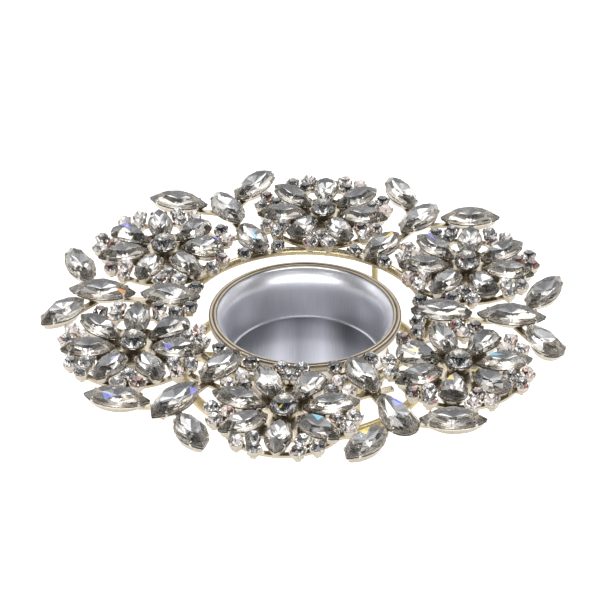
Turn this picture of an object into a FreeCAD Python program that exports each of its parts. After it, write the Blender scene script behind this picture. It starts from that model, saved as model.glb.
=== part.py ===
import FreeCAD, Part
import Sketcher
import math
import os

# A jewelled candle ring: a small drum of two wire rings and three posts carries a wreath of
# six stone flowers, with a spray of larger stones in each gap between two flowers. A metal
# cup for one small candle stands loose on three arms inside the drum and lifts straight out.
# The origin is the middle of the footprint on the table, with Z upwards.

doc = FreeCAD.newDocument("CandleRing")
sheet = doc.addObject("Spreadsheet::Sheet", "Sizes")

# Counts, angles and shares that are not lengths
FLOWERS = 6
PETALS = 7
POSTS = 3
FIRST_FLOWER_ANGLE = 23.7
FIRST_GAP_ANGLE = 53.7
FLOWER_STEP = 360.0 / FLOWERS
POST_STEP = 360.0 / POSTS
PETAL_STEP = 360.0 / PETALS
PETAL_TILT = 4.0
LEAF_TILT = 4.0
LEAF_BEARING = 30.5
RING_CHATON_BEARING = 9.5
ROUND_CLAW_TURN = -22.5
TABLE_SHARE = 0.56
POINT_SHARE = 0.05
FOOT_LENGTH_SHARE = 0.62
FOOT_WIDTH_SHARE = 0.36
RING_FLAT_SHARE = 0.3
RING_BEVEL_SHARE = 0.25
OUTER_RIDGE_SHARES = (0.16, 0.32)
INNER_RIDGE_SHARES = (0.68, 0.84)

# Turn of each flower about its own middle, from one petal pointing straight outwards
FLOWER_TURNS = (7.4, 2.3, 5.8, -11.8, 0.0, -12.0)

# Petals of each flower, anticlockwise from the outward one: pointed, pear or broad pear
FLOWER_PETALS = (
    "pointed pointed pointed pointed pointed pear pointed",
    "pear pointed pointed pear pointed pointed pointed",
    "pear pointed pointed pointed broad pear pointed",
    "pointed pointed pointed pointed pear pointed pointed",
    "pointed pointed pointed pear pointed pointed pointed",
    "pear pointed pear pointed broad pointed pear",
)

# Cuts of the four stones of each spray: inner, outer, left leaf, right leaf
SPRAY_CUTS = (
    "pointed pointed pointed pointed",
    "pointed pointed pointed oval",
    "pointed pointed pointed pointed",
    "pointed pointed pointed pointed",
    "pointed pear pointed pointed",
    "oval pointed pointed pear",
)

# Points round the edge of each cut, and which of its straight edges carry a claw
OUTLINE_POINTS = {"round": 8, "oval": 12, "pointed": 12, "pear": 12, "broad": 12}
CLAW_EDGES = {8: (0, 2, 4, 6), 12: (1, 4, 7, 10)}

# Driving sizes in millimetres, each with its name and what it measures
DRIVING_SIZES = (
    ("cup_rim_radius", "27.5", "outer edge of the rolled rim"),
    ("cup_foot_radius", "22.6", "edge of the flat underside"),
    ("cup_height", "17.0", "underside to top of rim"),
    ("cup_wall", "0.7", "wall and floor thickness"),
    ("rim_width", "2.4", "both rolled ridges together"),
    ("rim_skirt", "2.2", "height of the turned-down skirt"),
    ("rim_groove", "0.4", "depth of the groove between the ridges"),
    ("cup_air_gap", "7.7", "rim of cup to middle of the wire rings"),
    ("base_wire", "3.0", "width and height of the lower ring"),
    ("upper_wire", "2.6", "width and height of the upper ring"),
    ("post_diameter", "1.9", "upright rods"),
    ("rim_below_ring", "0.2", "cup rim below the top of the upper ring"),
    ("arm_width", "3.2", "arms under the cup"),
    ("arm_thickness", "1.4", "arms under the cup"),
    ("arm_hub_radius", "6.0", "disc where the arms meet"),
    ("seat_wire", "1.3", "ring that keeps the cup centred"),
    ("cup_side_clearance", "0.4", "cup to its centring ring"),
    ("plate_thickness", "0.8", "flower back plates and spray bars"),
    ("plate_hub_radius", "11.0", "disc under the middle stone"),
    ("spoke_width", "2.2", "bars under the petals"),
    ("plate_rim_width", "1.6", "ring of the plate, between the two rows of small stones"),
    ("finger_width", "1.5", "short bars from that ring under each small stone"),
    ("bar_width", "1.9", "bars of the sprays"),
    ("solder_gap", "0.1", "bar end to the plate beside it"),
    ("girdle", "0.3", "flat edge band of every stone"),
    ("fit_gap", "0.08", "stone to its claws and foot"),
    ("claw_depth", "0.5", "claw measured outwards from the stone"),
    ("claw_breadth", "0.8", "claw measured along the stone's edge"),
    ("claw_reach", "0.6", "claw tip over the stone"),
    ("claw_tip", "0.35", "thickness of the claw tip"),
    ("petal_start", "4.9", "flower middle to the petals' inner tips"),
    ("petal_length", "15.4", "pointed petal"),
    ("petal_width", "7.6", "pointed petal"),
    ("pear_length", "13.5", "pear petal"),
    ("pear_width", "8.2", "pear petal"),
    ("broad_length", "13.0", "broad pear petal"),
    ("broad_width", "10.4", "broad pear petal"),
    ("petal_crown", "2.3", "petal edge to its flat top"),
    ("petal_depth", "1.6", "petal edge to its lower point"),
    ("petal_stem", "0.5", "setting foot below the petal"),
    ("centre_diameter", "7.5", "middle stone"),
    ("centre_crown", "2.2", "middle stone edge to its flat top"),
    ("centre_depth", "2.3", "middle stone edge to its lower point"),
    ("centre_stem", "0.9", "setting foot below the middle stone"),
    ("chaton_diameter", "4.0", "small round stone"),
    ("chaton_crown", "1.3", "small stone edge to its flat top"),
    ("chaton_depth", "1.4", "small stone edge to its lower point"),
    ("chaton_stem", "0.9", "setting foot below the small stone"),
    ("claw_room", "0.7", "room kept for claws round a small stone"),
    ("lift_clearance", "2.5", "cup rim to the innermost stone tip"),
    ("accent_gap", "1.2", "inner stone of a spray to the outer one"),
    ("inner_length", "17.5", "inner stone of a spray"),
    ("inner_width", "8.8", "inner stone of a spray"),
    ("outer_length", "19.6", "outer stone of a spray"),
    ("outer_width", "9.4", "outer stone of a spray"),
    ("leaf_length", "18.0", "leaf stone of a spray"),
    ("leaf_width", "8.4", "leaf stone of a spray"),
    ("leaf_gap", "0.5", "leaf stone to the flower beside it"),
    ("accent_crown", "2.5", "spray stone edge to its flat top"),
    ("accent_depth", "1.6", "spray stone edge to its lower point"),
    ("accent_stem", "0.4", "setting foot below the spray stone"),
    ("ring_chaton_inset", "2.5", "small stones inside the upper ring"),
    ("ring_chaton_stem", "0.4", "setting foot below those stones"),
)

# Sizes that follow from the driving ones, as formulas of the same sheet
FOLLOWING_SIZES = (
    ("ring_radius", "=cup_rim_radius + cup_air_gap", "middle of both wire rings"),
    ("ring_top", "=base_wire + cup_height + rim_below_ring", "top of the upper ring"),
    ("plate_top", "=ring_top + plate_thickness", "where the settings stand"),
    ("chaton_lane", "=chaton_diameter / 2 + claw_room", "small stone's middle to what is beside it"),
    ("inner_chaton_radius", f"=(petal_width / 2 + chaton_lane) / sin({PETAL_STEP / 2} deg)",
     "single small stones between petals"),
    ("outer_chaton_radius", "=inner_chaton_radius + chaton_diameter", "pairs between petals"),
    ("small_stone_reach", "=outer_chaton_radius + chaton_diameter / 2 + claw_depth",
     "flower middle to the outer claws"),
    ("flower_reach", "=max(small_stone_reach; petal_start + petal_length)",
     "flower middle to its outermost part"),
    ("orbit", "=2 * flower_reach + inner_width", "origin to each flower's middle"),
    ("plate_radius", "=(inner_chaton_radius + outer_chaton_radius + plate_rim_width) / 2",
     "outside of the plate's ring"),
    ("small_foot", f"=chaton_diameter / 2 * {FOOT_WIDTH_SHARE}", "middle of a small stone to its foot's edge"),
    ("finger_reach", "=outer_chaton_radius + small_foot", "flower middle to the plate's fingertips"),
    ("lane_x", f"=orbit * cos({FLOWER_STEP / 2} deg)", "flower middle along the gap's axis"),
    ("lane_y", f"=orbit * sin({FLOWER_STEP / 2} deg)", "flower middle across the gap's axis"),
    ("inner_x", "=cup_rim_radius + lift_clearance + inner_length / 2", "inner stone of a spray"),
    ("outer_x", "=inner_x + inner_length / 2 + accent_gap + outer_length / 2", "outer stone"),
    ("leaf_distance", "=flower_reach + leaf_gap + leaf_width / 2", "flower middle to leaf stone"),
    ("leaf_x", f"=lane_x + leaf_distance * cos({LEAF_BEARING} deg)", "leaf stone along the gap's axis"),
    ("leaf_y", f"=lane_y - leaf_distance * sin({LEAF_BEARING} deg)", "leaf stone across it"),
    ("ring_chaton_radius", "=ring_radius - ring_chaton_inset", "small stones inside the ring"),
    ("wall_run", "=cup_rim_radius - rim_width + cup_wall - cup_foot_radius", "how far the wall flares"),
    ("wall_rise", "=cup_height - rim_width / 2 - rim_groove", "over what height it flares"),
    ("seat_inner_radius", "=cup_foot_radius + wall_run / wall_rise * seat_wire + cup_side_clearance",
     "inside of the seat ring"),
)

sheet.set("A1", "Size")
sheet.set("B1", "Value in mm")
sheet.set("C1", "Measures")
FIRST_ROW = 2
for row, (alias, value, measures) in enumerate(DRIVING_SIZES + FOLLOWING_SIZES, FIRST_ROW):
    sheet.set(f"A{row}", alias)
    sheet.set(f"C{row}", measures)
    sheet.setAlias(f"B{row}", alias)
    sheet.set(f"B{row}", value)
doc.recompute()


def size(alias):
    """The size of that name, in millimetres."""
    return float(sheet.get(alias))


def turn_about_z(angle):
    """A rotation of that many degrees about the Z axis."""
    return FreeCAD.Rotation(FreeCAD.Vector(0, 0, 1), angle)


def plane_of(body, role):
    """One of the body's own origin planes or axes."""
    for feature in body.Origin.OriginFeatures:
        if feature.Role == role:
            return feature
    raise RuntimeError(f"no {role} in {body.Label}")


def new_body(label):
    """An empty body that carries the node's name."""
    body = doc.addObject("PartDesign::Body", label)
    body.Label = label
    return body


def new_sketch(body, name, plane):
    """A sketch lying on one of the body's origin planes."""
    sketch = body.newObject("Sketcher::SketchObject", name)
    sketch.AttachmentSupport = [(plane_of(body, plane), "")]
    sketch.MapMode = "FlatFace"
    return sketch


def bind(sketch, kind, places, expression, start):
    """Adds one dimension to the sketch and ties it to the sheet."""
    index = sketch.addConstraint(Sketcher.Constraint(kind, *places, start))
    sketch.setExpression(f"Constraints[{index}]", expression)


def outline_sketch(body, name, plane, corners):
    """A closed outline of straight lines whose corners are pairs of sheet formulas."""
    sketch = new_sketch(body, name, plane)
    points = [FreeCAD.Vector(formula_value(x), formula_value(y), 0) for x, y in corners]
    count = len(points)
    for index in range(count):
        sketch.addGeometry(Part.LineSegment(points[index], points[(index + 1) % count]), False)
    for index in range(count):
        following = (index + 1) % count
        sketch.addConstraint(Sketcher.Constraint("Coincident", index, 2, following, 1))
    for index, (x, y) in enumerate(corners):
        if x == "0":
            sketch.addConstraint(Sketcher.Constraint("PointOnObject", index, 1, -2))
        else:
            bind(sketch, "DistanceX", (-1, 1, index, 1), x, points[index].x)
        if y == "0":
            sketch.addConstraint(Sketcher.Constraint("PointOnObject", index, 1, -1))
        else:
            bind(sketch, "DistanceY", (-1, 1, index, 1), y, points[index].y)
    return sketch


def circle_sketch(body, name, radii):
    """Circles about the body's origin, one for each sheet formula."""
    sketch = new_sketch(body, name, "XY_Plane")
    up = FreeCAD.Vector(0, 0, 1)
    for index, radius in enumerate(radii):
        value = formula_value(radius)
        sketch.addGeometry(Part.Circle(FreeCAD.Vector(), up, value), False)
        sketch.addConstraint(Sketcher.Constraint("Coincident", index, 3, -1, 1))
        bind(sketch, "Radius", (index,), radius, value)
    return sketch


def formula_value(formula):
    """What a sheet formula comes to now, for a sketch's first drawing."""
    return float(sheet.evalExpression(formula))


def pad(body, sketch, name, thickness):
    """Raises a sketch by a sheet formula."""
    feature = body.newObject("PartDesign::Pad", name)
    feature.Profile = sketch
    feature.setExpression("Length", thickness)
    body.Tip = feature
    return feature


def revolve(body, sketch, name):
    """Turns a profile fully about the body's Z axis."""
    feature = body.newObject("PartDesign::Revolution", name)
    feature.Profile = sketch
    feature.ReferenceAxis = (plane_of(body, "Z_Axis"), [""])
    feature.Angle = 360.0
    body.Tip = feature
    return feature


UPPER_RING_LEVEL = "Sizes.ring_top - Sizes.upper_wire"
SEAT_LEVEL = "Sizes.base_wire - Sizes.arm_thickness"

nodes = []


def candle_cup():
    """A spun cup with a flared wall, a turned-down skirt and two rolled ridges."""
    body = new_body("candle_cup")
    rim = "Sizes.cup_rim_radius"
    width = "Sizes.rim_width"
    wall = "Sizes.cup_wall"
    top = "Sizes.cup_height"
    groove = "Sizes.rim_groove"
    near, far = OUTER_RIDGE_SHARES
    next_near, next_far = INNER_RIDGE_SHARES
    corners = (
        ("0", "0"),
        ("Sizes.cup_foot_radius", "0"),
        ("Sizes.cup_foot_radius + Sizes.wall_run", "Sizes.wall_rise"),
        (f"{rim} - {wall}", f"{top} - Sizes.rim_skirt"),
        (rim, f"{top} - Sizes.rim_skirt"),
        (rim, f"{top} - {groove}"),
        (f"{rim} - {width} * {near}", top),
        (f"{rim} - {width} * {far}", top),
        (f"{rim} - {width} / 2", f"{top} - {groove}"),
        (f"{rim} - {width} * {next_near}", top),
        (f"{rim} - {width} * {next_far}", top),
        (f"{rim} - {width}", f"{top} - {groove}"),
        (f"Sizes.cup_foot_radius - {wall}", wall),
        ("0", wall),
    )
    sketch = outline_sketch(body, "CupProfile", "XZ_Plane", corners)
    revolve(body, sketch, "CupSpun")
    body.setExpression("Placement.Base.z", "Sizes.base_wire")
    nodes.append(body)


def wire_ring(label, wire, level):
    """A ring bent from bar with flat top and bottom and bevelled sides."""
    body = new_body(label)
    middle = "Sizes.ring_radius"
    flat = f"{wire} * {RING_FLAT_SHARE}"
    bevel = f"{wire} * {RING_BEVEL_SHARE}"
    corners = (
        (f"{middle} - {flat}", "0"),
        (f"{middle} + {flat}", "0"),
        (f"{middle} + {wire} / 2", bevel),
        (f"{middle} + {wire} / 2", f"{wire} - {bevel}"),
        (f"{middle} + {flat}", wire),
        (f"{middle} - {flat}", wire),
        (f"{middle} - {wire} / 2", f"{wire} - {bevel}"),
        (f"{middle} - {wire} / 2", bevel),
    )
    sketch = outline_sketch(body, label + "_profile", "XZ_Plane", corners)
    revolve(body, sketch, label + "_turned")
    body.setExpression("Placement.Base.z", level)
    nodes.append(body)
    return body


def upright_posts(lower, upper):
    """Round rods that stand on the lower ring and end under the upper one."""
    rings = doc.addObject("Part::Fuse", "BothRings")
    rings.Base = lower
    rings.Tool = upper
    for index in range(POSTS):
        angle = FIRST_GAP_ANGLE + POST_STEP * index
        rod = doc.addObject("Part::Cylinder", f"Rod{index + 1}")
        rod.setExpression("Radius", "Sizes.post_diameter / 2")
        rod.setExpression("Height", UPPER_RING_LEVEL + " + Sizes.upper_wire / 2 - Sizes.base_wire / 2")
        rod.setExpression("Placement.Base.x", f"Sizes.ring_radius * cos({angle} deg)")
        rod.setExpression("Placement.Base.y", f"Sizes.ring_radius * sin({angle} deg)")
        rod.setExpression("Placement.Base.z", "Sizes.base_wire / 2")
        post = doc.addObject("Part::Cut", f"post_{index + 1}")
        post.Label = f"post_{index + 1}"
        post.Base = rod
        post.Tool = rings
        nodes.append(post)


def cup_seat():
    """Three flat arms from a middle disc to the inside of the lower ring."""
    hub = doc.addObject("Part::Cylinder", "SeatHub")
    hub.setExpression("Radius", "Sizes.arm_hub_radius")
    hub.setExpression("Height", "Sizes.arm_thickness")
    parts = [hub]
    for index in range(POSTS):
        angle = FIRST_GAP_ANGLE + POST_STEP * index
        arm = doc.addObject("Part::Box", f"SeatArm{index + 1}")
        arm.setExpression("Length", "Sizes.ring_radius")
        arm.setExpression("Width", "Sizes.arm_width")
        arm.setExpression("Height", "Sizes.arm_thickness")
        arm.Placement.Rotation = turn_about_z(angle)
        arm.setExpression("Placement.Base.x", f"Sizes.arm_width / 2 * sin({angle} deg)")
        arm.setExpression("Placement.Base.y", f"-Sizes.arm_width / 2 * cos({angle} deg)")
        parts.append(arm)
    star = doc.addObject("Part::MultiFuse", "SeatStar")
    star.Shapes = parts
    inside = doc.addObject("Part::Cylinder", "InsideLowerRing")
    inside.setExpression("Radius", "Sizes.ring_radius - Sizes.base_wire / 2")
    inside.setExpression("Height", "Sizes.arm_thickness")
    seat = doc.addObject("Part::Common", "cup_seat")
    seat.Label = "cup_seat"
    seat.Base = star
    seat.Tool = inside
    seat.setExpression("Placement.Base.z", SEAT_LEVEL)
    nodes.append(seat)


def seat_ring():
    """A low ring on the arms that keeps the cup in the middle."""
    inner = "Sizes.seat_inner_radius"
    body = new_body("seat_ring")
    sketch = circle_sketch(body, "SeatRingCircles", (inner + " + Sizes.seat_wire", inner))
    pad(body, sketch, "SeatRingPad", "Sizes.seat_wire")
    body.setExpression("Placement.Base.z", "Sizes.base_wire")
    nodes.append(body)


def pair_angle():
    """Half the angle between the two outer small stones of one space between petals."""
    return math.degrees(math.asin(size("chaton_lane") / size("outer_chaton_radius")))


def flower_plate(index):
    """An openwork back plate: hub, spokes, ring, a finger for each small stone, ring bar."""
    name = f"flower_plate_{index + 1}"
    angle = FIRST_FLOWER_ANGLE + FLOWER_STEP * index
    body = new_body(name)
    thickness = "Sizes.plate_thickness"
    half_bar = "Sizes.spoke_width / 2"
    rim_middle = "Sizes.plate_radius - Sizes.plate_rim_width / 2"
    hub = circle_sketch(body, f"Hub{index + 1}", ("Sizes.plate_hub_radius",))
    pad(body, hub, f"HubPad{index + 1}", thickness)
    spoke_corners = (
        ("0", "-" + half_bar),
        (rim_middle, "-" + half_bar),
        (rim_middle, half_bar),
        ("0", half_bar),
    )
    spoke = outline_sketch(body, f"Spoke{index + 1}", "XY_Plane", spoke_corners)
    turn = turn_about_z(FLOWER_TURNS[index])
    spoke.AttachmentOffset = FreeCAD.Placement(FreeCAD.Vector(), turn)
    one_spoke = pad(body, spoke, f"SpokePad{index + 1}", thickness)
    doc.recompute()
    spokes = body.newObject("PartDesign::PolarPattern", f"Spokes{index + 1}")
    spokes.Originals = [one_spoke]
    spokes.Axis = (plane_of(body, "Z_Axis"), [""])
    spokes.Angle = 360.0
    spokes.Occurrences = PETALS
    body.Tip = spokes
    half_finger = "Sizes.finger_width / 2"
    between = FLOWER_TURNS[index] + PETAL_STEP / 2
    fingers = []
    for bearing, start, end in (
        (between - pair_angle(), rim_middle, "Sizes.finger_reach"),
        (between, "Sizes.inner_chaton_radius - Sizes.small_foot", rim_middle),
        (between + pair_angle(), rim_middle, "Sizes.finger_reach"),
    ):
        number = f"{index + 1}_{len(fingers) + 1}"
        finger_corners = (
            (start, "-" + half_finger),
            (end, "-" + half_finger),
            (end, half_finger),
            (start, half_finger),
        )
        finger = outline_sketch(body, f"Finger{number}", "XY_Plane", finger_corners)
        finger.AttachmentOffset = FreeCAD.Placement(FreeCAD.Vector(), turn_about_z(bearing))
        fingers.append(pad(body, finger, f"FingerPad{number}", thickness))
    doc.recompute()
    ring_of_fingers = body.newObject("PartDesign::PolarPattern", f"Fingers{index + 1}")
    ring_of_fingers.Originals = fingers
    ring_of_fingers.Axis = (plane_of(body, "Z_Axis"), [""])
    ring_of_fingers.Angle = 360.0
    ring_of_fingers.Occurrences = PETALS
    body.Tip = ring_of_fingers
    inner_edge = "Sizes.plate_radius - Sizes.plate_rim_width"
    rim = circle_sketch(body, f"Rim{index + 1}", ("Sizes.plate_radius", inner_edge))
    pad(body, rim, f"RimPad{index + 1}", thickness)
    tongue_end = "Sizes.ring_radius - Sizes.upper_wire / 2 - Sizes.orbit"
    tongue_corners = (
        (tongue_end, "-" + half_bar),
        ("0", "-" + half_bar),
        ("0", half_bar),
        (tongue_end, half_bar),
    )
    tongue = outline_sketch(body, f"Tongue{index + 1}", "XY_Plane", tongue_corners)
    pad(body, tongue, f"TonguePad{index + 1}", thickness)
    body.Placement.Rotation = turn_about_z(angle)
    body.setExpression("Placement.Base.x", f"Sizes.orbit * cos({angle} deg)")
    body.setExpression("Placement.Base.y", f"Sizes.orbit * sin({angle} deg)")
    body.setExpression("Placement.Base.z", "Sizes.ring_top")
    nodes.append(body)


def bar(name, start, end, across, width, turn=0.0):
    """A flat bar along X between two formulas, turned about a point on the X axis."""
    box = doc.addObject("Part::Box", name)
    box.setExpression("Length", f"{end} - ({start})")
    box.setExpression("Width", width)
    box.setExpression("Height", "Sizes.plate_thickness")
    box.Placement.Rotation = turn_about_z(turn)
    box.setExpression("Placement.Base.x", f"{start} + {width} / 2 * sin({turn} deg)")
    box.setExpression("Placement.Base.y", f"{across} - {width} / 2 * cos({turn} deg)")
    return box


def spray_frame(index):
    """The bars behind one spray: a spine, a cross bar, a link bar and two leaf arms."""
    label = f"spray_frame_{index + 1}"
    width = "Sizes.bar_width"
    cross_x = f"(Sizes.ring_chaton_radius * cos({RING_CHATON_BEARING} deg))"
    cross_half = f"(Sizes.ring_chaton_radius * sin({RING_CHATON_BEARING} deg) + {width} / 2)"
    link_half = "(Sizes.lane_y - Sizes.finger_reach - Sizes.solder_gap)"
    spine_end = f"Sizes.outer_x + Sizes.outer_length / 2 * {FOOT_LENGTH_SHARE}"
    arm_turn = math.degrees(math.atan2(size("leaf_y"), size("leaf_x") - size("outer_x")))
    arm_length = "sqrt((Sizes.leaf_x - Sizes.outer_x) ^ 2 + Sizes.leaf_y ^ 2)"
    arm_end = f"(Sizes.outer_x + {arm_length} + Sizes.leaf_width / 2)"
    bars = (
        bar(f"Spine{index + 1}", f"{cross_x} - {width} / 2", spine_end, "0", width),
        bar(f"Cross{index + 1}", f"{cross_x} - {width} / 2", f"{cross_x} + {width} / 2",
            "0", f"(2 * {cross_half})"),
        bar(f"Link{index + 1}", f"Sizes.lane_x - {width} / 2", f"Sizes.lane_x + {width} / 2",
            "0", f"(2 * {link_half})"),
        bar(f"LeftArm{index + 1}", "Sizes.outer_x", arm_end, "0", width, arm_turn),
        bar(f"RightArm{index + 1}", "Sizes.outer_x", arm_end, "0", width, -arm_turn),
    )
    frame = doc.addObject("Part::MultiFuse", label)
    frame.Label = label
    frame.Shapes = list(bars)
    frame.Placement.Rotation = turn_about_z(FIRST_GAP_ANGLE + FLOWER_STEP * index)
    frame.setExpression("Placement.Base.z", "Sizes.ring_top")
    nodes.append(frame)


# Makes the widest place of a pear's curve exactly its width
PEAR_SCALE = 1.5 * math.sqrt(3) / 2


def outline(cut, length, width):
    """Points round a stone's edge, anticlockwise from its outer end on the X axis.

    Every cut runs x = a cos t. A round or oval has y = b sin t. A pointed one is two arcs
    that meet at both ends. A pear has y = k b sin t cos(t / 2), which comes to one point.
    """
    half_length = length / 2
    half_width = width / 2
    arc_radius = (half_length ** 2 + half_width ** 2) / (2 * half_width)
    points = []
    count = OUTLINE_POINTS[cut]
    for index in range(count):
        angle = 2 * math.pi * index / count
        x = half_length * math.cos(angle)
        if cut == "pointed":
            rise = math.sqrt(arc_radius ** 2 - x ** 2) - (arc_radius - half_width)
            y = math.copysign(max(rise, 0), math.sin(angle))
        elif cut in ("pear", "broad"):
            y = PEAR_SCALE * half_width * math.sin(angle) * math.cos(angle / 2)
            y = math.copysign(abs(y), math.sin(angle))
        else:
            y = half_width * math.sin(angle)
        points.append(FreeCAD.Vector(x, y, 0))
    return points


def level_ring(points, share, level):
    """The outline drawn in towards its middle by a share and set at a level."""
    return [FreeCAD.Vector(point.x * share, point.y * share, level) for point in points]


def faceted_solid(rings):
    """A closed solid with one flat facet between each pair of points of two rings."""
    faces = [Part.Face(Part.makePolygon(rings[0] + rings[0][:1]))]
    for upper, lower in zip(rings, rings[1:]):
        count = len(upper)
        for index in range(count):
            following = (index + 1) % count
            corners = [upper[index], upper[following], lower[following], lower[index]]
            faces.append(Part.Face(Part.makePolygon(corners + corners[:1])))
    faces.append(Part.Face(Part.makePolygon(rings[-1] + rings[-1][:1])))
    solid = Part.Solid(Part.Shell(faces))
    if solid.Volume < 0:
        solid.reverse()
    return solid


def stone(cut, length, width, crown, depth):
    """A cut stone about its edge: flat table, crown facets, edge band and lower facets."""
    edge = outline(cut, length, width)
    half_girdle = size("girdle") / 2
    return faceted_solid([
        level_ring(edge, TABLE_SHARE, crown),
        level_ring(edge, 1, half_girdle),
        level_ring(edge, 1, -half_girdle),
        level_ring(edge, POINT_SHARE, -depth),
    ])


def claw(point, outward, reach_in, foot_reach, crown, depth, stem):
    """One claw in the upright plane square to the stone's edge.

    It leans in under the stone to its foot, and its tip folds over the crown facet with
    the fit gap all along. reach_in is the distance from the stone's middle to the edge.
    """
    half_girdle = size("girdle") / 2
    gap = size("fit_gap")
    thick = size("claw_depth")
    crown_slope = (crown - half_girdle) / ((1 - TABLE_SHARE) * reach_in)
    tip_level = half_girdle + (size("claw_reach") + gap) * crown_slope
    foot_out = foot_reach - reach_in
    foot_in = max(foot_out - thick, gap - (1 - POINT_SHARE) * reach_in)
    floor = -depth - gap - stem
    profile = (
        (foot_in, floor),
        (foot_in + thick, floor),
        (gap + thick, -half_girdle),
        (gap + thick, half_girdle),
        (-size("claw_reach"), tip_level + size("claw_tip")),
        (-size("claw_reach"), tip_level),
        (gap, half_girdle),
        (gap, -half_girdle),
        (foot_in, -depth),
    )
    along = FreeCAD.Vector(-outward.y, outward.x, 0)
    breadth = size("claw_breadth")
    start = point - along * (breadth / 2)
    corners = [start + outward * u + FreeCAD.Vector(0, 0, z) for u, z in profile]
    return Part.Face(Part.makePolygon(corners + corners[:1])).extrude(along * breadth)


def claw_setting(cut, length, width, crown, depth, stem):
    """A foot below the stone's point with four claws that hold its edge."""
    edge = outline(cut, length, width)
    count = len(edge)
    foot_width = width * FOOT_WIDTH_SHARE
    foot_length = length * FOOT_LENGTH_SHARE if length > width else foot_width
    foot_edge = outline(cut, foot_length, foot_width)
    foot_top = -depth - size("fit_gap")
    upper_side = level_ring(foot_edge, 1, foot_top)
    lower_side = level_ring(foot_edge, 1, foot_top - stem)
    foot = faceted_solid([upper_side, lower_side])
    claws = []
    for index in CLAW_EDGES[count]:
        first = edge[index]
        second = edge[(index + 1) % count]
        middle = (first + second) / 2
        run = second - first
        outward = FreeCAD.Vector(run.y, -run.x, 0).normalize()
        foot_reach = max(outward.dot(corner) for corner in foot_edge)
        claws.append(claw(middle, outward, outward.dot(middle), foot_reach, crown, depth, stem))
    return foot.multiFuse(claws).removeSplitter()


def stone_kinds():
    """Cut, length, width, crown, depth and stem of each kind of stone."""
    petal = (size("petal_crown"), size("petal_depth"), size("petal_stem"))
    accent = (size("accent_crown"), size("accent_depth"), size("accent_stem"))
    centre = (size("centre_crown"), size("centre_depth"), size("centre_stem"))
    small = (size("chaton_crown"), size("chaton_depth"))
    across = size("chaton_diameter")
    middle = size("centre_diameter")
    kinds = {
        "petal_pointed": ("pointed", size("petal_length"), size("petal_width"), *petal),
        "petal_pear": ("pear", size("pear_length"), size("pear_width"), *petal),
        "petal_broad": ("broad", size("broad_length"), size("broad_width"), *petal),
        "centre": ("round", middle, middle, *centre),
        "small": ("round", across, across, *small, size("chaton_stem")),
        "ring_small": ("round", across, across, *small, size("ring_chaton_stem")),
    }
    for place in ("inner", "outer", "leaf"):
        for cut in ("pointed", "pear", "oval"):
            length = size(f"{place}_length")
            width = size(f"{place}_width")
            kinds[f"{place}_{cut}"] = (cut, length, width, *accent)
    return kinds


KINDS = stone_kinds()
patterns = {}


def pattern_solids(kind, tilt):
    """The stone and setting of a kind, made once and copied to each place."""
    if (kind, tilt) not in patterns:
        cut, length, width, crown, depth, stem = KINDS[kind]
        lean = length * FOOT_LENGTH_SHARE / 2 * math.sin(math.radians(tilt))
        held = stone(cut, length, width, crown, depth)
        setting = claw_setting(cut, length, width, crown, depth, stem + 2 * lean)
        height = depth + size("fit_gap") + stem + lean
        patterns[(kind, tilt)] = (held, setting, height)
    return patterns[(kind, tilt)]


def placed_pair(kind, x, y, turn, tilt=0.0):
    """A stone and its setting on the plates, outer end raised by the tilt."""
    held, setting, height = pattern_solids(kind, tilt)
    lean = FreeCAD.Rotation(FreeCAD.Vector(0, 1, 0), -tilt)
    place = FreeCAD.Placement(FreeCAD.Vector(x, y, height), turn_about_z(turn) * lean)
    stone_copy = held.copy()
    stone_copy.Placement = place
    setting_copy = setting.copy()
    setting_copy.Placement = place
    if tilt:
        span = KINDS[kind][1]
        corner = FreeCAD.Vector(x - span, y - span, -span)
        below = Part.makeBox(2 * span, 2 * span, span, corner)
        setting_copy = setting_copy.cut(below)
    return stone_copy, setting_copy


def jewel_node(label, solids, place):
    """A node of separate solids drawn about its own middle and set in its place."""
    node = doc.addObject("Part::Feature", label)
    node.Label = label
    node.Shape = Part.makeCompound(solids)
    node.Placement = place
    nodes.append(node)


def small_stone_places(index):
    """Where a flower's small stones stand: one and then a pair in each space between petals."""
    petals = FLOWER_PETALS[index].split()
    places = []
    for petal in range(PETALS):
        angle = FLOWER_TURNS[index] + PETAL_STEP * (petal + 1 / 2)
        beside = (petals[petal], petals[(petal + 1) % PETALS])
        if "broad" not in beside:
            places.append((size("inner_chaton_radius"), angle))
        places.append((size("outer_chaton_radius"), angle - pair_angle()))
        places.append((size("outer_chaton_radius"), angle + pair_angle()))
    return places


def around(radius, angle):
    """A point at a radius and an angle in degrees."""
    return radius * math.cos(math.radians(angle)), radius * math.sin(math.radians(angle))


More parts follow.
